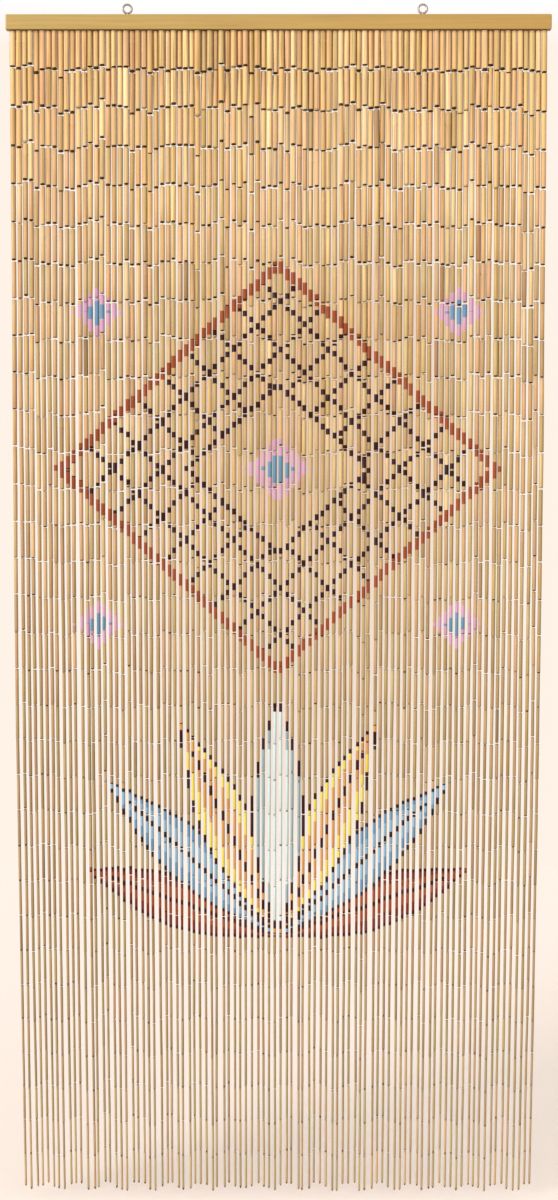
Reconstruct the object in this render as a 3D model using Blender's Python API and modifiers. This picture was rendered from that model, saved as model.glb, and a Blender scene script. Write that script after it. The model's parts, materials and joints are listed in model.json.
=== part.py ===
import math

import bmesh
import bpy
from mathutils import Vector

# Bamboo bead curtain for a doorway: a wooden bar with two screw eyes in its top edge,
# and under it a narrow strip from which the strands of bamboo beads hang side by side.
# Metres, +Z up. The front faces -Y. The origin is on the line through the two eyes'
# centres, above the middle of the bar.

NAME = "bead_curtain"
FIT_GAP = 0.0003

# Header bar
BAR_WIDTH = 0.900
BAR_HEIGHT = 0.025
BAR_DEPTH = 0.016
BAR_ROUNDING = 0.0020

# Screw eyes, the left one a little off the mirrored place of the right one
EYE_MEAN_RADIUS = 0.0071
EYE_WIRE_RADIUS = 0.0018
EYE_CLEARANCE = 0.0007
SHANK_RADIUS = 0.0015
SHANK_DEPTH = 0.012
EYES = (
    {"node": "eye_left", "x": -0.249, "turn_deg": 10.0},
    {"node": "eye_right", "x": 0.238, "turn_deg": -4.0},
)

# Strip that carries the strands
STRIP_HEIGHT = 0.0014
STRIP_DEPTH = 0.004
STRIP_END = 0.006

# Strands: beads thick at the bar and thin at the tips, cut in order from one cane
STRAND_COUNT = 90
STRAND_PITCH = 0.00986
CURTAIN_DROP = 2.000
ROOT_WIDTH = 0.003
SHOULDER_DROP = 0.0008
TIP_SPREAD = 0.014
# A strand's sections: share of its length below the bar, and bead width there
STRAND_PROFILE = (
    {"share": 0.00, "width": 0.0094},
    {"share": 0.06, "width": 0.0089},
    {"share": 0.15, "width": 0.0077},
    {"share": 0.32, "width": 0.0070},
    {"share": 0.47, "width": 0.0060},
    {"share": 0.62, "width": 0.0052},
    {"share": 0.85, "width": 0.0042},
    {"share": 1.00, "width": 0.0037},
)

# How much wider the sheet of strands is halfway down, where thick beads push each other out
MIDDLE_SPREAD = 0.011
# How far a strand drifts sideways and to the front or back by its tip
SIDE_DRIFT = 0.0012
DEPTH_DRIFT = 0.0025
# Strands that lean on a neighbour near their tips, counted from the left from 0
LEANING = (
    {"strand": 5, "lean": 0.0012},
    {"strand": 6, "lean": -0.0012},
    {"strand": 40, "lean": -0.0010},
    {"strand": 76, "lean": 0.0013},
    {"strand": 77, "lean": -0.0012},
)

# Heights worked out from the sizes above
BAR_TOP = -(EYE_MEAN_RADIUS + EYE_WIRE_RADIUS + EYE_CLEARANCE)
BAR_BOTTOM = BAR_TOP - BAR_HEIGHT
STRIP_TOP = BAR_BOTTOM - FIT_GAP
STRIP_BOTTOM = STRIP_TOP - STRIP_HEIGHT
SHOULDER = STRIP_BOTTOM - SHOULDER_DROP
TIP_LEVEL = BAR_TOP - CURTAIN_DROP


def clear_scene():
    for item in list(bpy.data.objects):
        bpy.data.objects.remove(item, do_unlink=True)


def make_collection(name):
    collection = bpy.data.collections.new(name)
    bpy.context.scene.collection.children.link(collection)
    return collection


def make_material(name, colour, roughness, metallic=0.0):
    material = bpy.data.materials.new(name)
    material.use_nodes = True
    shader = material.node_tree.nodes["Principled BSDF"]
    shader.inputs["Base Color"].default_value = (*colour, 1.0)
    shader.inputs["Roughness"].default_value = roughness
    shader.inputs["Metallic"].default_value = metallic
    return material


def place(item, collection):
    for holder in list(item.users_collection):
        holder.objects.unlink(item)
    collection.objects.link(item)


def apply_scale(item):
    bpy.ops.object.select_all(action="DESELECT")
    item.select_set(True)
    bpy.context.view_layer.objects.active = item
    bpy.ops.object.transform_apply(location=False, rotation=False, scale=True)


def add_cylinder(name, radius, top, bottom, x, sides):
    middle = (top + bottom) / 2
    bpy.ops.mesh.primitive_cylinder_add(
        vertices=sides, radius=radius, depth=top - bottom, location=(x, 0, middle)
    )
    item = bpy.context.object
    item.name = name
    return item


def hide_cutter(item, collection):
    item.hide_render = True
    item.display_type = "WIRE"
    place(item, collection)


def add_boolean(item, other, operation):
    step = item.modifiers.new(other.name, "BOOLEAN")
    step.operation = operation
    step.object = other
    step.solver = "EXACT"


def make_bar(parts, cutters):
    """The flat wooden bar, its edges eased, with a pilot hole for each screw eye."""
    middle = (BAR_TOP + BAR_BOTTOM) / 2
    bpy.ops.mesh.primitive_cube_add(size=1, location=(0, 0, middle))
    bar = bpy.context.object
    bar.name = "header_bar"
    bar.scale = (BAR_WIDTH, BAR_DEPTH, BAR_HEIGHT)
    apply_scale(bar)
    easing = bar.modifiers.new("eased_edges", "BEVEL")
    easing.width = BAR_ROUNDING
    easing.segments = 2
    for eye in EYES:
        pilot = add_cylinder(
            "pilot_" + eye["node"],
            SHANK_RADIUS + FIT_GAP,
            BAR_TOP + SHANK_DEPTH / 2,
            BAR_TOP - SHANK_DEPTH - FIT_GAP,
            eye["x"],
            12,
        )
        add_boolean(bar, pilot, "DIFFERENCE")
        hide_cutter(pilot, cutters)
    bar.data.materials.append(make_material("light_wood", (0.58, 0.40, 0.16), 0.5))
    place(bar, parts)


def make_eye(eye, parts, cutters, steel):
    """A screw eye: a ring of thick wire on a shank that sits in the bar."""
    bpy.ops.mesh.primitive_torus_add(
        major_radius=EYE_MEAN_RADIUS,
        minor_radius=EYE_WIRE_RADIUS,
        major_segments=24,
        minor_segments=8,
        location=(eye["x"], 0, 0),
        rotation=(math.pi / 2, 0, math.radians(eye["turn_deg"])),
    )
    ring = bpy.context.object
    ring.name = eye["node"]
    shank = add_cylinder(
        "shank_" + eye["node"],
        SHANK_RADIUS,
        -EYE_MEAN_RADIUS,
        BAR_TOP - SHANK_DEPTH,
        eye["x"],
        10,
    )
    add_boolean(ring, shank, "UNION")
    hide_cutter(shank, cutters)
    ring.data.materials.append(steel)
    ring.data.shade_smooth()
    place(ring, parts)


def strand_middle(index):
    return (index - (STRAND_COUNT - 1) / 2) * STRAND_PITCH


def strand_drift(index, share):
    """How far a strand is from straight under its root: sideways, and to the back."""
    pushed = MIDDLE_SPREAD * math.sin(math.pi * share) * strand_middle(index)
    side = SIDE_DRIFT * math.sin(2.4 * index + 1.7 * math.sin(0.9 * index))
    depth = DEPTH_DRIFT * math.sin(3.7 * index + 0.8)
    lean = sum(row["lean"] for row in LEANING if row["strand"] == index)
    return Vector((pushed + side * share + lean * share ** 2, depth * share ** 1.5))


def strand_tip(index):
    """Level of a strand's lower end, the longest at the curtain's full drop."""
    unevenness = 0.5 + 0.5 * math.sin(5.1 * index + 0.6 * math.sin(2.2 * index))
    return TIP_LEVEL + TIP_SPREAD * unevenness


def is_root(face):
    """True for a face under the strip that is as wide as a strand's root."""
    sides = [corner.co.x for corner in face.verts]
    return face.normal.z < -0.9 and abs(max(sides) - min(sides) - ROOT_WIDTH) < FIT_GAP


def set_section(face, middle, width, level):
    """Moves a four-cornered face to a level and makes it a square of the given width."""
    old_middle = face.calc_center_median()
    for corner in face.verts:
        right = 1 if corner.co.x > old_middle.x else -1
        back = 1 if corner.co.y > old_middle.y else -1
        corner.co = (middle.x + right * width / 2, middle.y + back * width / 2, level)


def grow_strands(mesh, roots):
    """Draws every root face down into a tapered four-sided strand with a free tip."""
    faces = roots
    for row in STRAND_PROFILE:
        share = row["share"]
        faces = bmesh.ops.extrude_discrete_faces(mesh, faces=faces)["faces"]
        faces.sort(key=lambda face: face.calc_center_median().x)
        for index, face in enumerate(faces):
            middle = Vector((strand_middle(index), 0)) + strand_drift(index, share)
            level = SHOULDER + (strand_tip(index) - SHOULDER) * share
            set_section(face, middle, row["width"], level)


def make_strands(parts):
    """The narrow strip under the bar and all the strands, fused to it at their roots."""
    mesh = bmesh.new()
    bmesh.ops.create_cube(mesh, size=1)
    strip_width = 2 * (strand_middle(STRAND_COUNT - 1) + STRIP_END)
    bmesh.ops.scale(mesh, vec=(strip_width, STRIP_DEPTH, STRIP_HEIGHT), verts=mesh.verts)
    middle = (STRIP_TOP + STRIP_BOTTOM) / 2
    bmesh.ops.translate(mesh, vec=(0, 0, middle), verts=mesh.verts)
    for index in range(STRAND_COUNT):
        for side in (-1, 1):
            bmesh.ops.bisect_plane(
                mesh,
                geom=mesh.verts[:] + mesh.edges[:] + mesh.faces[:],
                plane_co=(strand_middle(index) + side * ROOT_WIDTH / 2, 0, 0),
                plane_no=(1, 0, 0),
            )
    grow_strands(mesh, [face for face in mesh.faces if is_root(face)])
    data = bpy.data.meshes.new("bead_strands")
    mesh.to_mesh(data)
    mesh.free()
    strands = bpy.data.objects.new("bead_strands", data)
    data.materials.append(make_material("bamboo", (0.70, 0.50, 0.26), 0.45))
    parts.objects.link(strands)


def main():
    clear_scene()
    parts = make_collection(NAME)
    cutters = make_collection(NAME + "_cutters")
    make_bar(parts, cutters)
    steel = make_material("steel_wire", (0.55, 0.52, 0.48), 0.35, 1.0)
    for eye in EYES:
        make_eye(eye, parts, cutters, steel)
    make_strands(parts)


main()
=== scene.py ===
import json
import math

import bmesh
import bpy
import numpy as np
from mathutils import Matrix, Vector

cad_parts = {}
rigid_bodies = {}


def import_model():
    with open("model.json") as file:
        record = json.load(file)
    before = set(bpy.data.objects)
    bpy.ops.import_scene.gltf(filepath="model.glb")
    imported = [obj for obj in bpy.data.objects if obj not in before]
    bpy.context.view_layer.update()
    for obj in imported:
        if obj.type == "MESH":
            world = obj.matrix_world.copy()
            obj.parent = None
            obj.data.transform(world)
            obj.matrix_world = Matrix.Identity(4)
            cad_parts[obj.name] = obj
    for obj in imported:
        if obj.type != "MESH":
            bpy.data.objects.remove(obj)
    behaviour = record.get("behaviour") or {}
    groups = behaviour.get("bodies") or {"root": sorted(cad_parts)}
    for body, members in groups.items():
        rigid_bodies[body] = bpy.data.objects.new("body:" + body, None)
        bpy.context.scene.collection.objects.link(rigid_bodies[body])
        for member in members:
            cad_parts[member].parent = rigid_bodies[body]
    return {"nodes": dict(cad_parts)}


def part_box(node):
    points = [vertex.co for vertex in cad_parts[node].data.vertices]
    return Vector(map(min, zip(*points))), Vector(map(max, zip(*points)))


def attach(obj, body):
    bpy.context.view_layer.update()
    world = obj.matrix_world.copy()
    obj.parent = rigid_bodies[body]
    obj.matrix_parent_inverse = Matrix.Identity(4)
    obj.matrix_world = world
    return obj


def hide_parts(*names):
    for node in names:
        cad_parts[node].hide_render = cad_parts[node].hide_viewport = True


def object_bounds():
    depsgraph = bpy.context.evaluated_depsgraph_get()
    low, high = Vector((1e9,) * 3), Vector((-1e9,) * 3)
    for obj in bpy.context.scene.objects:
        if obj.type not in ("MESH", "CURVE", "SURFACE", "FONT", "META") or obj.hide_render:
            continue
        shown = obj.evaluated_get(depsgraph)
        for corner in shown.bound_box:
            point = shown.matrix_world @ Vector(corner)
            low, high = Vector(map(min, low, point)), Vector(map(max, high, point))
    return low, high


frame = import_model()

# The bamboo bead curtain's looks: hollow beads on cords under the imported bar, the painted
# pattern on their fronts, the screw eyes, a pale floor and room, soft light and the camera.
# Metres, +Z up. The front faces -Y.

CAD_LOW, CAD_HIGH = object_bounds()
BAR_LOW, BAR_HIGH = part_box("header_bar")

# Strands, as packed: the level where they begin, and how they bow out halfway down
STRAND_COUNT = 90
BEADS_PER_STRAND = 32
STRAND_PITCH = 0.00986
PANEL_STRANDS = 15
SHOULDER = -0.0371
MIDDLE_SPREAD = 0.011
# How far a packed corner may be off its section's level, and above the shoulder
LEVEL_SLACK = 0.00002
SHOULDER_SLACK = 0.0002

# Bead as modelled, before it is scaled to its place; about one in twelve has a cane's node
BEAD_SIDES = 10
BEAD_LENGTH = 0.058
BEAD_RADIUS = 0.0035
BEAD_WALL = 0.0010
BEAD_EASING = 0.00035
NODE_RING_PLACE = 0.19
NODE_RING_HALF = 0.0016
NODE_RING_SWELL = 1.09
NODED_SHARE = 0.08
# Corners of the bead nearer than this to one level lie on it
SAME_LEVEL = 0.00001
SMOOTH_DEG = 50

# Lengths along a strand
TOP_BEAD_STEP = 0.0638
TIP_BEAD_STEP = 0.0596
GAP_PLACES = (0.0, 0.15, 0.3, 0.45, 1.0)
GAP_VALUES = (0.0020, 0.0020, 0.0016, 0.0013, 0.0012)
GAP_SPREAD = 0.85
# The first rows' beads differ more in length than the others
FIRST_ROWS = 2
FIRST_LENGTH_SPREAD = 0.0034
LENGTH_SPREAD = 0.0012
# Each row of joints rises and falls in two waves across the strands
JOINT_WAVES = (
    {"height": 0.00140, "by_strand": 0.55, "by_row": 0.20, "start": 0.0},
    {"height": 0.00084, "by_strand": 0.31, "by_row": -0.13, "start": 2.0},
)
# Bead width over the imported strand's, by share of the strand's length
SWELL_PLACES = (0.0, 0.04, 0.12, 0.25, 0.60, 0.85, 1.0)
SWELL_VALUES = (1.085, 1.090, 1.050, 1.065, 1.060, 1.045, 1.03)
WIDTH_SPREAD = 0.045
WIDTH_LIMIT = 0.07
TAPER_SPREAD = 0.02
# Neighbours stand before and behind each other, most where the beads are thickest
TOP_STAGGER = 0.0011
TIP_STAGGER = 0.0004
LEAST_STAGGER = 0.4
# How far a strand may stray sideways, most where some neighbours hang in touching pairs
SIDE_PLACES = (0.0, 0.08, 0.20, 0.45, 0.70, 1.0)
SIDE_VALUES = (0.0004, 0.0005, 0.0018, 0.0019, 0.0013, 0.0012)
DEPTH_SWAY = 0.0007
# A strand's stray is one steady part and one that wanders from joint to joint
STEADY_PART = 0.75
WANDERING_PART = 0.5
# Rounds in which strands that would run into each other are pushed apart
PUSH_ROUNDS = 80
# How far up a bead its dark lower-end mark reaches, as a share of its length
END_MARK_PLACES = (0.0, 0.2, 0.4, 0.6, 1.0)
END_MARK_VALUES = (0.040, 0.037, 0.028, 0.022, 0.026)
END_MARK_SPREAD = 0.45
# Share of the beads whose lower end is marked dark
DARK_END_PLACES = (0.0, 0.12, 0.3, 0.6, 1.0)
DARK_END_VALUES = (0.92, 0.80, 0.45, 0.40, 0.60)
LEAST_DARK_END = 0.35
# Painted light and shade on the bare beads by share of the strand's length: brightest under the bar,
# darkest two thirds down, lighter again at the tips
PAINTED_LIGHT_PLACES = (0.0, 0.06, 0.12, 0.2, 0.33, 0.45, 0.6, 0.75, 0.9, 1.0)
PAINTED_LIGHT_VALUES = (1.23, 1.25, 1.17, 1.05, 1.02, 0.93, 0.79, 0.78, 0.86, 1.10)
GREY_PLACES = (0.0, 0.15, 0.3, 0.45, 0.6, 1.0)
GREY_VALUES = (0.0, 0.12, 0.22, 0.30, 0.42, 0.85)
GREY_SPREAD = 0.15
# Chance differences between beads: in brightness, and in hue within and between canes
SHADE_SPREAD = 0.06
SHADE_LIMITS = (0.85, 1.14)
HUE_SPREAD = 0.3
CANE_HUE_SPREAD = 0.25
# Share of the beads that take their strand's own tint
SAME_CANE_SHARE = 0.45
# Darkness of the painted shade down a bead's two sides, where its neighbours crowd it, by share of
# the strand's length
SIDE_SHADE_PLACES = (0.0, 0.05, 0.2, 0.4, 1.0)
SIDE_SHADE_VALUES = (0.85, 0.75, 0.55, 0.30, 0.15)
LEAST_SIDE_SHADE = 0.6

# Cords, ties and end knots; the first beads hide their ties and reach almost up to the bar
BAR_CLEARANCE = 0.0006
CORD_SIDES = 6
CORD_RADIUS = 0.00045
CORD_HOLD = 0.004
TIE_RADIUS = 0.0011
TIE_WIRE = 0.00035
KNOT_RADIUS = 0.0012
# The knot's shape, and how many of its radii its middle is below the last bead
KNOT_SQUASH = (1.0, 0.85, 1.25)
KNOT_DROP = 0.8

# Screw eyes
EYE_MEAN_RADIUS = 0.0071
EYE_WIRE_RADIUS = 0.0018
# Where the ring begins above the shank's neck, and the angles of its bend and its opening
EYE_NECK = 0.7 * EYE_WIRE_RADIUS
EYE_BEND_DEG = 4
EYE_OPENING_DEG = 12
EYE_STEPS = 44
SHANK_RADIUS = 0.0015
SHANK_DEPTH = 0.012
EYES = (
    {"node": "eye_left", "piece": "eye_wire_left", "x": -0.249, "turn_deg": 10.0},
    {"node": "eye_right", "piece": "eye_wire_right", "x": 0.238, "turn_deg": -4.0},
)

# Painted pattern, sizes from the curtain's middle
MEDALLION_LEVEL = -0.757
MEDALLION_HALF_WIDTH = 0.375
MEDALLION_HALF_HEIGHT = 0.350
FRAME_BAND = 0.058
TRELLIS_STEP = 0.080
TRELLIS_LINE = 0.0094
# Steps added so that the trellis's lines are counted from above 0, half a step off the middle
TRELLIS_SHIFT = 20.5
INNER_OUTLINE = 0.42
FLOWER_REACH = 0.056
BUD_SIDE = 0.300
BUD_RISE = 0.262
BUD_REACH = 0.042
PALMETTE_LEVEL = -1.560
LEAF_HALF_WIDTH = 0.046
LEAF_OUTLINE = 0.0055
RIB_HALF_WIDTH = 0.0035
RIB_START = 0.06
RIB_END = 0.86
# Paint reaches this far round a bead, from 1 at its front to -1 at its back
PAINT_REACH = -0.30
# How far a strand's strokes stand above or below their place
STROKE_SPREAD = 0.0022
LEAVES = (
    {"angle": 70, "length": 0.350, "colour": "dark_red", "heart": "brick"},
    {"angle": 47, "length": 0.400, "colour": "sky", "heart": "pale_sky"},
    {"angle": 24, "length": 0.410, "colour": "yellow", "heart": "orange"},
    {"angle": 0, "length": 0.420, "colour": "mist", "heart": "pale_mist"},
)

# Camera, fitted to the bar's corners, the curtain's edges and its tips
CAMERA_PLACE = (0.0174, -3.0, -0.7243)
CAMERA_TILT_DEG = 4.834
CAMERA_TURN_DEG = 0.298
CAMERA_ROLL_DEG = 0.040
CAMERA_LENS = 53.28

# Light from the upper left in front
LAMP_STRENGTH = 3.4
LAMP_SPREAD_DEG = 24
LAMP_SIDE_DEG = -46
LAMP_RISE_DEG = 14

# Floor and room
FLOOR_GAP = 0.020
FLOOR_SIZE = 5
FLOOR_COLOUR = (0.83, 0.72, 0.645)
WALL_COLOUR = (1.0, 0.893, 0.803)
CEILING_COLOUR = (1.0, 1.0, 1.0)
# The ceiling begins at this sine of the angle above the horizon
CEILING_FROM = 0.214
CEILING_FADE = 0.022
# Painted shade on the wall behind the curtain's middle, by the sine of the angle above the horizon
WALL_SHADE_COLOUR = (0.78, 0.575, 0.42)
WALL_SHADE_SIDE = 0.015
WALL_SHADE_REACH = 0.14
WALL_SHADE_BY_RISE = (
    (-0.230, 0.06),
    (-0.195, 0.28),
    (-0.140, 0.47),
    (-0.080, 0.60),
    (-0.025, 0.88),
    (0.030, 1.00),
    (0.075, 1.00),
    (0.105, 0.60),
    (0.140, 0.15),
    (0.180, 0.00),
)

# Seed of all random draws
SEED = 41

# Bamboo skin: noise scales across and along a bead, and strengths
STREAK_SCALE = (330, 330, 6)
STREAK_CONTRAST = 7
STREAK_STRENGTH = 0.35
FIBRE_SCALE = (900, 900, 14)
FIBRE_BRIGHTNESS = 0.26
BLOTCH_SCALE = (90, 90, 22)
BLOTCH_BRIGHTNESS = 0.28
PLAIN_BRIGHTNESS = 0.75
VEIN_SCALE = (400, 400, 5)
VEIN_FROM = 0.56
VEIN_FADE = 0.1
VEIN_BY_SIDE_SHADE = 0.45
LEAST_VEIN = 0.12
# The painted side shade fades out at this value of front, from a bead's sides towards its front and
# back
SIDE_SHADE_REACH = 0.714
# Marks by their place along a bead, which is 0.5 at its upper end and -0.5 at its lower end
# Painted shadow of the bar on the first beads' upper ends
UNDER_BAR_FROM = 0.42
UNDER_BAR_FADE = 0.111
UNDER_BAR_STRENGTH = 0.75
LOW_END_STRENGTH = 0.97
ARCH_SLOPE = 6
ARCH_DROP = 3.4
RIM_FROM = 0.486
RIM_STRENGTH = 0.40
CUT_FROM = 0.4995
# Painted shade on the bar's underside reaches this far up its eased edges
UNDERSIDE_EDGE = 0.0006
UNDERSIDE_SHADE_STRENGTH = 0.8
# Height of the relief in the finishes
GRAIN_RELIEF = 0.0003
FIBRE_RELIEF = 0.0002
FINE_RELIEF = 0.0001


def linear(red, green, blue):
    """A colour given from 0 to 255 as a screen shows it, as the shader's own values."""
    parts = [value / 255 for value in (red, green, blue)]
    return tuple(p / 12.92 if p <= 0.04045 else ((p + 0.055) / 1.055) ** 2.4 for p in parts)


# Bamboo tints, by share of the beads, mostly from dark to light
TINTS = (
    (0.00, linear(128, 94, 60)),
    (0.02, linear(154, 122, 78)),
    (0.12, linear(164, 131, 84)),
    (0.30, linear(174, 141, 90)),
    (0.46, linear(184, 144, 100)),
    (0.60, linear(173, 146, 97)),
    (0.72, linear(172, 142, 102)),
    (0.86, linear(188, 157, 107)),
    (1.00, linear(196, 169, 126)),
)
WEATHERED = linear(140, 126, 98)
ROSY = linear(192, 144, 114)
GREENISH = linear(168, 152, 88)
# Painted shadow of the bar on the first beads' tops
SHADED_TOP = linear(74, 44, 16)
VEIN_BROWN = linear(122, 78, 34)
# Painted shade down the beads' sides
SIDE_SHADE_BROWN = linear(96, 58, 20)
# Dark marks at the bead ends
END_MARK_BROWN = linear(26, 12, 4)
# Painted shade: the sawn ends dark brown and the bore near black, as the hollow ends look in shadow
DARK_CUT_SHADE = linear(46, 24, 10)
BORE_SHADE = linear(22, 11, 5)
CORD_CREAM = linear(222, 206, 176)
TIE_LIGHT = linear(120, 92, 60)
TIE_DARK = linear(70, 46, 24)
EYE_LIGHT = linear(184, 172, 162)
EYE_DARK = linear(124, 112, 100)
# Wood of the bar, from the dark to the light of its grain
BAR_GRAIN = (
    (0.25, linear(140, 114, 54)),
    (0.50, linear(160, 132, 66)),
    (0.75, linear(172, 144, 78)),
)
# Painted shade: darker, warmer wood toward the bar's right end
BAR_WARM_SHADE = linear(156, 114, 50)
# Painted shade on the bar's underside
BAR_UNDERSIDE_SHADE = linear(96, 62, 22)
PAINTS = {
    "brick": linear(131, 62, 31),
    "aubergine": linear(42, 13, 12),
    "pink": linear(175, 133, 154),
    "sky": linear(88, 122, 147),
    "pale_sky": linear(117, 148, 168),
    "yellow": linear(194, 175, 74),
    "orange": linear(176, 127, 72),
    "dark_red": linear(100, 36, 23),
    "mist": linear(128, 146, 148),
    "pale_mist": linear(176, 188, 186),
}


class Value:
    """A number in a material. Sums, products and comparisons on it add their Math nodes."""

    def __init__(self, finish, socket):
        self.finish = finish
        self.socket = socket

    def __add__(self, other):
        return self.finish.maths("ADD", self, other)

    def __sub__(self, other):
        return self.finish.maths("SUBTRACT", self, other)

    def __mul__(self, other):
        return self.finish.maths("MULTIPLY", self, other)

    def __truediv__(self, other):
        return self.finish.maths("DIVIDE", self, other)

    def __lt__(self, other):
        return self.finish.maths("LESS_THAN", self, other)

    def __gt__(self, other):
        return self.finish.maths("GREATER_THAN", self, other)

    def __abs__(self):
        return self.finish.maths("ABSOLUTE", self)

    def __rsub__(self, other):
        return self.finish.maths("SUBTRACT", other, self)

    __radd__ = __add__

    def sine(self):
        return self.finish.maths("SINE", self)

    def fraction(self):
        return self.finish.maths("FRACT", self)

    def clamped(self):
        return self.finish.maths("ADD", self, 0.0, use_clamp=True)

    def at_least(self, other):
        return self.finish.maths("MAXIMUM", self, other)


class Finish:
    """A material, or the room, being built up. Every node comes from the method called node."""

    def __init__(self, name, room=False):
        self.made = bpy.data.worlds.new(name) if room else bpy.data.materials.new(name)
        self.made.use_nodes = True
        self.tree = self.made.node_tree
        self.shader = self.tree.nodes["Background" if room else "Principled BSDF"]

    def node(self, kind, settings=None, inputs=None):
        step = self.tree.nodes.new(kind)
        for name, setting in (settings or {}).items():
            if name == "stops":
                self.set_stops(step.color_ramp, setting)
            else:
                setattr(step, name, setting)
        for place, value in (inputs or {}).items():
            self.feed(step.inputs[place], value)
        return step

    def set_stops(self, ramp, stops):
        while len(ramp.elements) < len(stops):
            ramp.elements.new(1.0)
        for element, (place, colour) in zip(ramp.elements, stops):
            element.position = place
            element.color = (*colour, 1.0)

    def feed(self, socket, value):
        if isinstance(value, Value):
            self.tree.links.new(value.socket, socket)
        elif isinstance(value, bpy.types.NodeSocket):
            self.tree.links.new(value, socket)
        elif isinstance(value, tuple) and len(value) == 3 and socket.type == "RGBA":
            socket.default_value = (*value, 1.0)
        else:
            socket.default_value = value

    def maths(self, operation, first, second=None, use_clamp=False):
        inputs = {0: first} if second is None else {0: first, 1: second}
        step = self.node("ShaderNodeMath", {"operation": operation, "use_clamp": use_clamp}, inputs)
        return Value(self, step.outputs[0])

    def attribute(self, name):
        step = self.node("ShaderNodeAttribute", {"attribute_name": name})
        return Value(self, step.outputs["Fac"])

    def place(self, axis, kind="Object"):
        """One of the piece's own X, Y and Z, in metres, or of the room's directions."""
        where = self.node("ShaderNodeTexCoord")
        split = self.node("ShaderNodeSeparateXYZ", inputs={0: where.outputs[kind]})
        return Value(self, split.outputs[axis])

    def stretched_noise(self, scale, detail=2.0, roughness=0.5):
        """Noise with its own scale along each axis, from 0 to 1."""
        where = self.node("ShaderNodeTexCoord").outputs["Object"]
        drawn = self.node("ShaderNodeMapping", inputs={"Vector": where, "Scale": scale})
        inputs = {"Vector": drawn.outputs[0], "Scale": 1.0, "Detail": detail, "Roughness": roughness}
        return Value(self, self.node("ShaderNodeTexNoise", inputs=inputs).outputs[0])

    def ramp(self, value, stops):
        return self.node("ShaderNodeValToRGB", {"stops": stops}, {0: value}).outputs[0]

    def over(self, under, mask, colour):
        """Lays a colour over another where the mask is 1."""
        step = self.node("ShaderNodeMix", {"data_type": "RGBA"}, {0: mask, 6: under, 7: colour})
        return step.outputs[2]

    def shaded(self, colour, brightness):
        """A colour made darker or lighter by a number."""
        inputs = {0: colour, "Scale": brightness}
        return self.node("ShaderNodeVectorMath", {"operation": "SCALE"}, inputs).outputs[0]

    def relief(self, height, distance, strength):
        inputs = {"Height": height, "Distance": distance, "Strength": strength}
        bump = self.node("ShaderNodeBump", inputs=inputs)
        self.feed(self.shader.inputs["Normal"], bump.outputs[0])


def painted(finish, bare):
    """The painted pattern over the bare bamboo: a lozenge with four buds above a palmette."""
    across = finish.attribute("strand_x")
    level = finish.place("Z") + finish.attribute("stroke")
    side = abs(across)
    shown = finish.attribute("front") > PAINT_REACH

    up = level - MEDALLION_LEVEL
    reach = side / MEDALLION_HALF_WIDTH + abs(up) / MEDALLION_HALF_HEIGHT
    inside = reach < 1 - FRAME_BAND
    frame_mask = (reach < 1.0) * (reach > 1 - FRAME_BAND)
    line_share = TRELLIS_LINE / TRELLIS_STEP
    rising = ((across + up) / TRELLIS_STEP + TRELLIS_SHIFT).fraction() < line_share
    falling = ((across - up) / TRELLIS_STEP + TRELLIS_SHIFT).fraction() < line_share
    trellis = inside * rising.at_least(falling) * (reach > INNER_OUTLINE)
    outline = (reach < INNER_OUTLINE) * (reach > INNER_OUTLINE - FRAME_BAND / 2)
    petal = side + abs(up)
    flower = petal < FLOWER_REACH
    heart = petal < FLOWER_REACH / 2

    colour = finish.over(bare, frame_mask * shown, PAINTS["brick"])
    colour = finish.over(colour, trellis.at_least(outline) * shown, PAINTS["aubergine"])
    colour = finish.over(colour, flower * shown, PAINTS["pink"])
    colour = finish.over(colour, heart * shown, PAINTS["sky"])
    bud = abs(side - BUD_SIDE) + abs(abs(up) - BUD_RISE)
    colour = finish.over(colour, (bud < BUD_REACH) * shown, PAINTS["pink"])
    colour = finish.over(colour, (bud < BUD_REACH / 2) * shown, PAINTS["sky"])

    rise = level - PALMETTE_LEVEL
    for leaf in LEAVES:
        angle = math.radians(leaf["angle"])
        along = side * math.sin(angle) + rise * math.cos(angle)
        off = abs(side * math.cos(angle) - rise * math.sin(angle))
        share = (along / leaf["length"]).clamped()
        width = (share * math.pi).sine() * LEAF_HALF_WIDTH
        colour = finish.over(colour, (off < width) * shown, PAINTS["aubergine"])
        colour = finish.over(colour, (off < width - LEAF_OUTLINE) * shown, PAINTS[leaf["colour"]])
        colour = finish.over(colour, (off < width * 0.5) * shown, PAINTS[leaf["heart"]])
        rib = (off < RIB_HALF_WIDTH) * (share > RIB_START) * (share < RIB_END) * shown
        colour = finish.over(colour, rib, PAINTS["aubergine"])
    return colour


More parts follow.
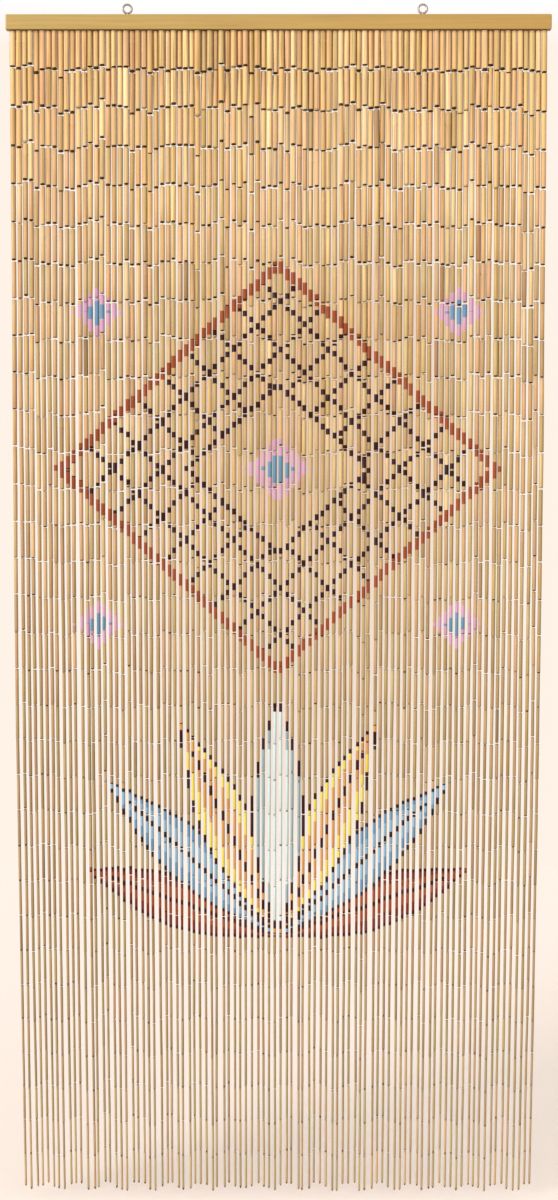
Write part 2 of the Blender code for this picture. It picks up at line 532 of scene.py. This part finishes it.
def make_skin():
    """Satin bamboo skin: every bead its own tint, fine fibres along it, painted in front, with
    painted light and shade down the curtain, under the bar and down the beads' sides.
    """
    finish = Finish("bamboo_skin")
    # Along is 0.5 at a bead's upper end and -0.5 at its lower end, front is 1 in front and -1 behind
    along = finish.attribute("along")
    front = finish.attribute("front")

    # Tint: the cane's own, greyer down the curtain, with rosy and greenish streaks
    golden = finish.ramp(finish.attribute("tint"), TINTS)
    tint = finish.over(golden, finish.attribute("grey").clamped(), WEATHERED)
    streak = (finish.stretched_noise(STREAK_SCALE) - 0.5) * STREAK_CONTRAST
    streak = streak + finish.attribute("hue")
    tint = finish.over(tint, streak.clamped() * STREAK_STRENGTH, ROSY)
    tint = finish.over(tint, (0 - streak).clamped() * STREAK_STRENGTH, GREENISH)
    fibre = finish.stretched_noise(FIBRE_SCALE)
    blotch = finish.stretched_noise(BLOTCH_SCALE)
    mottle = PLAIN_BRIGHTNESS + fibre * FIBRE_BRIGHTNESS + blotch * BLOTCH_BRIGHTNESS
    # The shade attribute is painted light and shade by row, times each bead's own tone
    bare = finish.shaded(tint, finish.attribute("shade") * mottle)

    # Painted shade just under the bar and down each bead's two sides where its neighbours crowd it;
    # darker veins in the skin
    under_bar_shade = ((along - UNDER_BAR_FROM) / UNDER_BAR_FADE).clamped() * finish.attribute("first")
    bare = finish.over(bare, under_bar_shade * UNDER_BAR_STRENGTH, SHADED_TOP)
    rub = finish.attribute("rub")
    vein = ((finish.stretched_noise(VEIN_SCALE, detail=1.0) - VEIN_FROM) / VEIN_FADE).clamped()
    bare = finish.over(bare, vein * (rub * VEIN_BY_SIDE_SHADE + LEAST_VEIN), VEIN_BROWN)
    # Painted shade down the bead's two sides, where its neighbours crowd it
    side_shaded = (1 - abs(front) / SIDE_SHADE_REACH).clamped() * rub
    bare = finish.over(bare, side_shaded, SIDE_SHADE_BROWN)
    colour = painted(finish, bare)

    # Dark marks: an arch at the lower end, and a thin rim at the upper one
    burnt = finish.attribute("burnt")
    arch = (abs(front) * ARCH_SLOPE - ARCH_DROP).clamped()
    low_end = (along + 0.5 < finish.attribute("scorch") * arch) * burnt * LOW_END_STRENGTH
    rim = (along > RIM_FROM) * burnt * RIM_STRENGTH
    colour = finish.over(colour, low_end.at_least(rim), END_MARK_BROWN)
    finish.feed(finish.shader.inputs["Base Color"], colour)
    finish.feed(finish.shader.inputs["Roughness"], 0.38 + fibre * 0.2)
    finish.shader.inputs["Specular IOR Level"].default_value = 0.15
    finish.relief(fibre, FIBRE_RELIEF, 0.5)
    return finish.made


def make_cut():
    """The sawn ends and the bore, painted dark as painted shade of the hollow ends."""
    finish = Finish("bamboo_cut")
    end = abs(finish.attribute("along")) > CUT_FROM
    fibre = finish.stretched_noise((2500, 2500, 60), detail=1.0)
    # Painted shade on the sawn ends, and darker in the bore
    cut_shade = finish.shaded(DARK_CUT_SHADE, 0.6 + fibre * 0.8)
    colour = finish.over(BORE_SHADE, end, cut_shade)
    finish.feed(finish.shader.inputs["Base Color"], colour)
    finish.shader.inputs["Roughness"].default_value = 0.8
    finish.shader.inputs["Specular IOR Level"].default_value = 0.1
    finish.relief(fibre, FIBRE_RELIEF, 0.6)
    return finish.made


def make_cord_finish():
    """Pale waxed cord with a fine twist."""
    finish = Finish("waxed_cord")
    twist = finish.stretched_noise((1800, 1800, 900), detail=1.0)
    colour = finish.shaded(CORD_CREAM, 0.8 + twist * 0.3)
    finish.feed(finish.shader.inputs["Base Color"], colour)
    finish.shader.inputs["Roughness"].default_value = 0.55
    finish.relief(twist, FINE_RELIEF, 0.6)
    return finish.made


def make_wire_finish(name, light, dark):
    """Dull plated wire, mottled and a little rough."""
    finish = Finish(name)
    mottle = finish.stretched_noise((420, 420, 420), detail=3.0)
    colour = finish.over(dark, mottle, light)
    finish.feed(finish.shader.inputs["Base Color"], colour)
    finish.feed(finish.shader.inputs["Roughness"], 0.30 + mottle * 0.25)
    finish.shader.inputs["Metallic"].default_value = 0.7
    finish.relief(mottle, FINE_RELIEF, 0.3)
    return finish.made


def make_bar_finish():
    """Clear-lacquered light wood with a fine straight grain along the bar, with painted shade on its
    bottom face and toward its right end.
    """
    finish = Finish("bar_wood")
    grain = finish.stretched_noise((7, 260, 260), detail=5.0, roughness=0.6)
    bands = finish.stretched_noise((1.6, 70, 70))
    pores = finish.stretched_noise((45, 1500, 1500), detail=1.0)
    wood = finish.ramp(grain * 0.6 + bands * 0.4, BAR_GRAIN)
    # Painted shade: the wood darker and warmer toward the right end, away from the light
    to_right = (finish.place("X") / BAR_HIGH.x + 1) * 0.5
    warmer_and_shaded = finish.over(wood, to_right * 0.5, BAR_WARM_SHADE)
    # Painted shade on the bar's underside and the foot of its eased edges
    underside_shade = finish.place("Z") < BAR_LOW.z + UNDERSIDE_EDGE
    colour = finish.shaded(warmer_and_shaded, 0.92 + pores * 0.14)
    colour = finish.over(colour, underside_shade * UNDERSIDE_SHADE_STRENGTH, BAR_UNDERSIDE_SHADE)
    finish.feed(finish.shader.inputs["Base Color"], colour)
    finish.feed(finish.shader.inputs["Roughness"], 0.40 + grain * 0.18)
    finish.shader.inputs["Coat Weight"].default_value = 0.15
    finish.shader.inputs["Coat Roughness"].default_value = 0.30
    finish.relief(grain * 0.6 + pores * 0.4, GRAIN_RELIEF, 0.4)
    return finish.made


def make_floor_finish():
    """A plain pale floor."""
    finish = Finish("pale_floor")
    finish.shader.inputs["Base Color"].default_value = (*FLOOR_COLOUR, 1.0)
    finish.shader.inputs["Roughness"].default_value = 0.9
    finish.shader.inputs["Specular IOR Level"].default_value = 0.2
    return finish.made


def make_room():
    """Pale warm walls under a white ceiling, the back wall with painted soft shade in its middle."""
    finish = Finish("pale_room", room=True)
    rise = finish.place("Z", "Generated")
    side = abs(finish.place("X", "Generated") - WALL_SHADE_SIDE)
    behind = finish.place("Y", "Generated") > 0
    stops = [(sine + 0.5, (share, share, share)) for sine, share in WALL_SHADE_BY_RISE]
    level = Value(finish, finish.ramp(rise + 0.5, stops))
    near = (1 - side / WALL_SHADE_REACH).clamped()
    soft_near = near * near * (3 - near * 2)
    # Painted shade on the back wall behind the curtain
    wall = finish.over(WALL_COLOUR, soft_near * level * behind, WALL_SHADE_COLOUR)
    ceiling = ((rise - CEILING_FROM) / CEILING_FADE).clamped()
    finish.feed(finish.shader.inputs["Color"], finish.over(wall, ceiling, CEILING_COLOUR))
    return finish.made


def clear_selection():
    """Deselects everything, so that an operator acts on the new piece alone."""
    for item in bpy.context.view_layer.objects:
        item.select_set(False)
    bpy.context.view_layer.objects.active = None


def select_faces(piece, wanted):
    """Selects the faces that a test on middle and normal picks, in edit mode."""
    mesh = bmesh.from_edit_mesh(piece.data)
    for face in mesh.faces:
        face.select_set(bool(wanted(face.calc_center_median(), face.normal)))
    bmesh.update_edit_mesh(piece.data)


def select_edges(piece, wanted):
    """Selects the level edges whose ends a test picks, in edit mode."""
    mesh = bmesh.from_edit_mesh(piece.data)
    for edge in mesh.edges:
        first, second = (corner.co for corner in edge.verts)
        level = abs(first.z - second.z) < SAME_LEVEL
        edge.select_set(level and wanted(first) and wanted(second))
    bmesh.update_edit_mesh(piece.data)


def on_outside(place):
    """True for a place on a modelled bead's outer wall."""
    return math.hypot(place.x, place.y) > BEAD_RADIUS - BEAD_WALL / 2


def model_bead(noded):
    """One bead: a bamboo tube with eased rims, and a swollen ring where the cane had a node."""
    clear_selection()
    bpy.ops.mesh.primitive_cylinder_add(
        vertices=BEAD_SIDES, radius=BEAD_RADIUS, depth=BEAD_LENGTH, end_fill_type="NGON"
    )
    bead = bpy.context.object
    bpy.ops.object.mode_set(mode="EDIT")
    bpy.ops.mesh.select_mode(type="FACE")
    select_faces(bead, lambda middle, normal: abs(normal.z) > 0.9)
    bpy.ops.mesh.inset(thickness=BEAD_WALL)
    bpy.ops.mesh.bridge_edge_loops()
    bpy.ops.mesh.select_mode(type="EDGE")
    end_level = BEAD_LENGTH / 2 - BEAD_EASING / 2
    select_edges(bead, lambda co: on_outside(co) and abs(co.z) > end_level)
    bpy.ops.mesh.bevel(offset=BEAD_EASING, segments=1, affect="EDGES")
    if noded:
        ring_level = NODE_RING_PLACE * BEAD_LENGTH
        for level in (ring_level - NODE_RING_HALF, ring_level, ring_level + NODE_RING_HALF):
            bpy.ops.mesh.select_all(action="SELECT")
            bpy.ops.mesh.bisect(plane_co=(0, 0, level), plane_no=(0, 0, 1))
        select_edges(bead, lambda co: on_outside(co) and abs(co.z - ring_level) < SAME_LEVEL)
        bpy.ops.transform.resize(value=(NODE_RING_SWELL, NODE_RING_SWELL, 1))
    bpy.ops.object.mode_set(mode="OBJECT")
    return bead


def model_link():
    """A short straight length of cord, a metre long until it is scaled."""
    clear_selection()
    bpy.ops.mesh.primitive_cylinder_add(vertices=CORD_SIDES, radius=CORD_RADIUS, depth=1.0)
    return bpy.context.object


def model_tie():
    """The wire ring that carries a strand under the bar."""
    clear_selection()
    bpy.ops.mesh.primitive_torus_add(
        major_radius=TIE_RADIUS,
        minor_radius=TIE_WIRE,
        major_segments=12,
        minor_segments=5,
        rotation=(math.pi / 2, 0, 0),
    )
    ring = bpy.context.object
    bpy.ops.object.transform_apply(location=False, rotation=True, scale=False)
    return ring


def model_knot():
    """The knot that stops the last bead from slipping off its cord."""
    clear_selection()
    bpy.ops.mesh.primitive_uv_sphere_add(segments=8, ring_count=6, radius=KNOT_RADIUS)
    knot = bpy.context.object
    bpy.ops.object.mode_set(mode="EDIT")
    bpy.ops.transform.resize(value=KNOT_SQUASH)
    bpy.ops.object.mode_set(mode="OBJECT")
    return knot


class Pattern:
    """A modelled piece taken apart into arrays, so that it can be repeated, then deleted.

    Points and faces are sorted, because some operators leave them in a new order each run.
    """

    def __init__(self, model):
        mesh = model.data
        points = np.array([corner.co for corner in mesh.vertices])
        order = np.lexsort(points.T)
        rank = np.argsort(order)
        self.points = points[order]
        faces = [rank[list(face.vertices)].tolist() for face in mesh.polygons]
        self.corners = sorted(faces, key=sorted)
        self.middles = np.array([self.points[face].mean(axis=0) for face in self.corners])
        bpy.data.objects.remove(model, do_unlink=True)


def repeated(name, copies, finishes):
    """One joined mesh from (pattern, points, values, slots) copies, riding on the one body."""
    points = []
    faces = []
    slots = []
    values = {key: [] for key in copies[0][2]}
    start = 0
    for pattern, placed, carried, face_slots in copies:
        points.append(placed)
        faces.extend([[start + corner for corner in face] for face in pattern.corners])
        slots.append(face_slots)
        for key in values:
            values[key].append(np.broadcast_to(carried[key], len(placed)))
        start += len(placed)
    mesh = bpy.data.meshes.new(name)
    mesh.from_pydata(np.concatenate(points).tolist(), [], faces)
    for finish in finishes:
        mesh.materials.append(finish)
    mesh.polygons.foreach_set("material_index", np.concatenate(slots))
    mesh.polygons.foreach_set("use_smooth", np.ones(len(mesh.polygons), bool))
    for key, parts in values.items():
        layer = mesh.attributes.new(key, "FLOAT", "POINT")
        layer.data.foreach_set("value", np.concatenate(parts).astype(np.float32))
    mesh.update()
    mesh.set_sharp_from_angle(angle=math.radians(SMOOTH_DEG))
    piece = bpy.data.objects.new(name, mesh)
    bpy.context.scene.collection.objects.link(piece)
    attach(piece, "root")
    return piece


def read_strands():
    """Each packed strand's sections, root to tip: rows of level, middle x, middle y, width."""
    node = frame["nodes"]["bead_strands"]
    points = np.array([corner.co for corner in node.data.vertices])
    points = points[points[:, 2] < SHOULDER + SHOULDER_SLACK]
    share = (points[:, 2] - SHOULDER) / (CAD_LOW.z - SHOULDER)
    pitch = STRAND_PITCH * (1 + MIDDLE_SPREAD * np.sin(math.pi * share))
    numbers = np.rint(points[:, 0] / pitch + (STRAND_COUNT - 1) / 2).astype(int)
    strands = []
    for number in range(STRAND_COUNT):
        own = points[numbers == number]
        levels = np.unique(np.round(own[:, 2], 5))[::-1]
        rows = []
        for level in levels:
            ring = own[np.abs(own[:, 2] - level) < LEVEL_SLACK]
            low, high = ring.min(axis=0), ring.max(axis=0)
            middle = (low + high) / 2
            rows.append((level, middle[0], middle[1], high[0] - low[0]))
        strands.append(np.array(rows))
    return strands


def on_strand(rows, level):
    """Middle x, middle y and bead width of a strand at one or more levels."""
    levels = rows[::-1, 0]
    x, y, width = (np.interp(level, levels, rows[::-1, column]) for column in (1, 2, 3))
    share = (rows[0, 0] - level) / (rows[0, 0] - rows[-1, 0])
    return x, y, width * np.interp(share, SWELL_PLACES, SWELL_VALUES)


def joint_levels(rows, number, draw):
    """Levels of each bead's upper and lower end down one strand."""
    row = np.arange(BEADS_PER_STRAND)
    share = row / (BEADS_PER_STRAND - 1)
    steps = TOP_BEAD_STEP + (TIP_BEAD_STEP - TOP_BEAD_STEP) * share
    spread = np.where(row < FIRST_ROWS, FIRST_LENGTH_SPREAD, LENGTH_SPREAD)
    steps += draw.normal(0, 1, BEADS_PER_STRAND) * spread
    gaps = np.interp(share, GAP_PLACES, GAP_VALUES)
    gaps *= draw.uniform(1 - GAP_SPREAD, 1 + GAP_SPREAD, BEADS_PER_STRAND)
    top, tip = rows[0, 0], rows[-1, 0]
    steps *= (top - tip + gaps[-1]) / steps.sum()
    ends = top - np.cumsum(steps)
    for wave in JOINT_WAVES:
        turn = wave["by_strand"] * number + wave["by_row"] * row + wave["start"]
        ends[:-1] += wave["height"] * np.sin(turn[:-1])
    starts = np.concatenate([[top], ends[:-1]])
    return starts, ends + gaps


def joint_sway(count, draw):
    """How far each joint of a strand strays sideways and in depth, as shares of its reach."""
    walk = draw.normal(0, 1, (count, 2)).cumsum(axis=0)
    walk -= walk.mean(axis=0)
    walk /= np.abs(walk).max(axis=0)
    steady = draw.uniform(-1, 1, 2)
    return np.clip(STEADY_PART * steady + WANDERING_PART * walk, -1, 1)


def push_apart(x, y, widths, reach, middles):
    """Moves strands sideways, within their reach, then in depth, till their beads are clear."""
    at_joint = np.maximum(
        np.concatenate([widths[:, :1], widths], axis=1),
        np.concatenate([widths, widths[:, -1:]], axis=1),
    )
    apart = (at_joint[1:] + at_joint[:-1]) / 2
    need = np.sqrt(np.maximum(apart ** 2 - np.diff(y, axis=0) ** 2, 0))
    for _ in range(PUSH_ROUNDS):
        push = np.maximum(need - np.diff(x, axis=0), 0) / 2
        x[1:] += push
        x[:-1] -= push
        x = np.clip(x, middles - reach, middles + reach)
    need = np.sqrt(np.maximum(apart ** 2 - np.diff(x, axis=0) ** 2, 0))
    for _ in range(PUSH_ROUNDS):
        between = np.diff(y, axis=0)
        push = np.sign(between) * np.maximum(need - np.abs(between), 0) / 2
        y[1:] += push
        y[:-1] -= push
    return x, y


def lay_out_strands(draw):
    """Levels, joint places and bead widths of all strands."""
    levels = []
    places = []
    sways = []
    widths = []
    for number, rows in enumerate(read_strands()):
        starts, ends = joint_levels(rows, number, draw)
        starts[0] = BAR_LOW.z - BAR_CLEARANCE
        levels.append((starts, ends))
        x, y, width = on_strand(rows, np.append(starts, ends[-1]))
        sway = joint_sway(len(x), draw)
        stagger = np.linspace(TOP_STAGGER, TIP_STAGGER, len(y)) * draw.uniform(LEAST_STAGGER, 1.0)
        y += sway[:, 1] * DEPTH_SWAY + stagger * (-1) ** number
        own = (width[:-1] + width[1:]) / 2
        own *= 1 + np.clip(draw.normal(0, WIDTH_SPREAD, len(own)), -WIDTH_LIMIT, WIDTH_LIMIT)
        places.append((x, y))
        sways.append(sway[:, 0])
        widths.append(own)
    x, y = np.array(places).transpose(1, 0, 2)
    widths = np.array(widths)
    reach = np.interp(np.linspace(0, 1, x.shape[1]), SIDE_PLACES, SIDE_VALUES)
    x, y = push_apart(x + np.array(sways) * reach, y.copy(), widths, reach, x)
    return levels, x, y, widths


def place_bead(pattern, upper, lower, width, taper, turn):
    """Points of a bead between the middles of its two ends."""
    length = np.linalg.norm(upper - lower)
    points = pattern.points.copy()
    share = points[:, 2] / BEAD_LENGTH
    inner = BEAD_LENGTH / 2 - np.abs(points[:, 2])
    points[:, 2] = np.sign(points[:, 2]) * (length / 2 - inner)
    cos, sin = math.cos(turn), math.sin(turn)
    scale = width / (2 * BEAD_RADIUS) * (1 + taper * share)
    x = (points[:, 0] * cos - points[:, 1] * sin) * scale
    y = (points[:, 0] * sin + points[:, 1] * cos) * scale
    axis = (upper - lower) / length
    middle = (upper + lower) / 2
    placed = middle + np.outer(points[:, 2], axis)
    placed[:, 0] += x
    placed[:, 1] += y
    front = -y / (width / 2)
    return placed, front, share


def bead_looks(row, cane, cane_hue, draw):
    """What the skin needs to know about one bead, the same all over it."""
    down = row / (BEADS_PER_STRAND - 1)
    burnt = draw.random() < np.interp(down, DARK_END_PLACES, DARK_END_VALUES)
    # Painted light and shade by the bead's row
    shade = np.interp(down, PAINTED_LIGHT_PLACES, PAINTED_LIGHT_VALUES)
    grey = np.interp(down, GREY_PLACES, GREY_VALUES)
    # Strength of the painted side shade by the bead's row
    rub = np.interp(down, SIDE_SHADE_PLACES, SIDE_SHADE_VALUES)
    scorch = np.interp(down, END_MARK_PLACES, END_MARK_VALUES)
    return {
        "burnt": 1.0 if burnt else LEAST_DARK_END,
        "tint": cane if draw.random() < SAME_CANE_SHARE else draw.random(),
        "hue": cane_hue + draw.normal(0, HUE_SPREAD),
        "shade": shade * np.clip(draw.normal(1.0, SHADE_SPREAD), *SHADE_LIMITS),
        "grey": grey + draw.uniform(-GREY_SPREAD, GREY_SPREAD),
        "rub": rub * draw.uniform(LEAST_SIDE_SHADE, 1.0),
        "scorch": scorch * draw.uniform(1 - END_MARK_SPREAD, 1 + END_MARK_SPREAD),
        "first": float(row == 0),
    }


def hang_strands():
    """All beads, cords, ties and knots, in panels of neighbouring strands."""
    draw = np.random.default_rng(SEED)
    patterns = (Pattern(model_bead(False)), Pattern(model_bead(True)))
    rim = BEAD_RADIUS - BEAD_WALL / 2
    slots = [
        (np.hypot(p.middles[:, 0], p.middles[:, 1]) < rim).astype(np.int32) for p in patterns
    ]
    link = Pattern(model_link())
    tie = Pattern(model_tie())
    knot = Pattern(model_knot())
    tie_slots = np.zeros(len(tie.corners), np.int32)
    knot_slots = np.zeros(len(knot.corners), np.int32)
    skin = make_skin()
    cut = make_cut()
    cord_finish = make_cord_finish()
    tie_finish = make_wire_finish("tie_wire", TIE_LIGHT, TIE_DARK)
    beads = []
    links = []
    ties = []
    knots = []
    levels, x, y, widths = lay_out_strands(draw)
    for number, (starts, ends) in enumerate(levels):
        strand_x = (number - (STRAND_COUNT - 1) / 2) * STRAND_PITCH
        stroke = draw.uniform(-STROKE_SPREAD, STROKE_SPREAD)
        cane = draw.random()
        cane_hue = draw.normal(0, CANE_HUE_SPREAD)
        cord_top = np.array([strand_x, 0.0, BAR_LOW.z - 2 * TIE_RADIUS])
        ring = tie.points + np.array([strand_x, 0.0, BAR_LOW.z - TIE_RADIUS])
        ties.append((tie, ring, {}, tie_slots))
        for row, (start, end) in enumerate(zip(starts, ends)):
            noded = int(draw.random() < NODED_SHARE)
            pattern = patterns[noded]
            taper = draw.normal(0, TAPER_SPREAD)
            upper = np.array([x[number, row], y[number, row], start])
            lower = np.array([x[number, row + 1], y[number, row + 1], end])
            turn = draw.uniform(0, 2 * math.pi)
            width = widths[number, row]
            placed, front, share = place_bead(pattern, upper, lower, width, taper, turn)
            carried = bead_looks(row, cane, cane_hue, draw)
            carried.update(strand_x=strand_x, stroke=stroke, front=front, along=share)
            beads.append((pattern, placed, carried, slots[noded]))
            links.append(cord_between(link, cord_top, upper))
            cord_top = lower
        foot = cord_top - np.array([0, 0, KNOT_RADIUS * KNOT_DROP])
        links.append(cord_between(link, cord_top, foot))
        knots.append((knot, knot.points + foot, {}, knot_slots))
    pieces = []
    panel_beads = PANEL_STRANDS * BEADS_PER_STRAND
    for panel in range(STRAND_COUNT // PANEL_STRANDS):
        chosen = beads[panel * panel_beads : (panel + 1) * panel_beads]
        pieces.append(repeated(f"beads_{panel + 1}", chosen, (skin, cut)))
    pieces.append(repeated("cords", links, (cord_finish,)))
    pieces.append(repeated("ties", ties, (tie_finish,)))
    pieces.append(repeated("end_knots", knots, (tie_finish,)))
    for piece in pieces:
        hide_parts("bead_strands")


def cord_between(link, upper, lower):
    """A cord from inside one bead's bore, or from the tie, to inside the next one's."""
    under_tie = upper[2] > BAR_LOW.z - 3 * TIE_RADIUS
    top = upper if under_tie else upper + np.array([0, 0, CORD_HOLD])
    bottom = lower - np.array([0, 0, CORD_HOLD])
    middle = (top + bottom) / 2
    placed = link.points.copy()
    lean = (top - bottom)[:2]
    placed[:, 0] += placed[:, 2] * lean[0]
    placed[:, 1] += placed[:, 2] * lean[1]
    placed[:, 2] *= top[2] - bottom[2]
    return link, placed + middle, {}, np.zeros(len(link.corners), np.int32)


def eye_route():
    """The bent wire's path, across and up: the shank, then the ring round to a small gap."""
    neck = -EYE_MEAN_RADIUS - EYE_WIRE_RADIUS
    route = [(0.0, neck - SHANK_DEPTH), (0.0, neck), (0.0, neck + EYE_NECK)]
    start = EYE_BEND_DEG - 90
    round_deg = 360 - EYE_BEND_DEG - EYE_OPENING_DEG
    for step in range(EYE_STEPS + 1):
        angle = math.radians(start + round_deg * step / EYE_STEPS)
        route.append((EYE_MEAN_RADIUS * math.cos(angle), EYE_MEAN_RADIUS * math.sin(angle)))
    return route


def make_eye(eye, finish):
    """A screw eye of bent wire, its shank in the bar."""
    curve = bpy.data.curves.new(eye["piece"], "CURVE")
    curve.dimensions = "3D"
    curve.bevel_depth = EYE_WIRE_RADIUS
    curve.bevel_resolution = 4
    curve.use_fill_caps = True
    wire = curve.splines.new("POLY")
    route = eye_route()
    wire.points.add(len(route) - 1)
    turn = math.radians(eye["turn_deg"])
    for point, (across, up) in zip(wire.points, route):
        point.co = (eye["x"] + across * math.cos(turn), across * math.sin(turn), up, 1.0)
        in_shank = up < -EYE_MEAN_RADIUS - EYE_WIRE_RADIUS / 2
        point.radius = SHANK_RADIUS / EYE_WIRE_RADIUS if in_shank else 1.0
    bent = bpy.data.objects.new(eye["piece"], curve)
    bpy.context.scene.collection.objects.link(bent)
    clear_selection()
    bent.select_set(True)
    bpy.context.view_layer.objects.active = bent
    bpy.ops.object.convert(target="MESH")
    piece = bpy.context.object
    piece.data.materials.clear()
    piece.data.materials.append(finish)
    bpy.ops.object.shade_smooth_by_angle(angle=math.radians(SMOOTH_DEG))
    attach(piece, "root")
    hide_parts(eye["node"])


def dress_bar():
    """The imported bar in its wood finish."""
    bar = frame["nodes"]["header_bar"]
    bar.material_slots[0].material = make_bar_finish()


def lay_floor():
    """A plain floor a little under the strands' ends."""
    clear_selection()
    bpy.ops.mesh.primitive_plane_add(size=FLOOR_SIZE, location=(0, 0, CAD_LOW.z - FLOOR_GAP))
    floor = bpy.context.object
    floor.name = "floor"
    floor.data.materials.append(make_floor_finish())


def light_scene():
    """The pale room's own light and one soft lamp from the upper left in front."""
    bpy.context.scene.world = make_room()
    lamp = bpy.data.lights.new("soft_lamp", "SUN")
    lamp.energy = LAMP_STRENGTH
    lamp.angle = math.radians(LAMP_SPREAD_DEG)
    holder = bpy.data.objects.new("soft_lamp", lamp)
    turned = Matrix.Rotation(math.radians(LAMP_SIDE_DEG), 3, "Z")
    raised = Matrix.Rotation(math.radians(90 - LAMP_RISE_DEG), 3, "X")
    holder.rotation_euler = (turned @ raised).to_euler()
    bpy.context.scene.collection.objects.link(holder)
    bpy.context.scene.view_settings.view_transform = "Standard"


def set_camera():
    """The camera at the photograph's viewing angle."""
    lens = bpy.data.cameras.new("front_camera")
    lens.lens = CAMERA_LENS
    lens.clip_end = 50
    camera = bpy.data.objects.new("front_camera", lens)
    camera.location = CAMERA_PLACE
    aim = (
        Matrix.Rotation(math.radians(CAMERA_TURN_DEG), 3, "Z")
        @ Matrix.Rotation(math.radians(90 - CAMERA_TILT_DEG), 3, "X")
        @ Matrix.Rotation(math.radians(CAMERA_ROLL_DEG), 3, "Z")
    )
    camera.rotation_euler = aim.to_euler()
    bpy.context.scene.collection.objects.link(camera)
    bpy.context.scene.camera = camera


set_camera()
light_scene()
lay_floor()
dress_bar()
hang_strands()
eye_finish = make_wire_finish("eye_wire", EYE_LIGHT, EYE_DARK)
for eye in EYES:
    make_eye(eye, eye_finish)
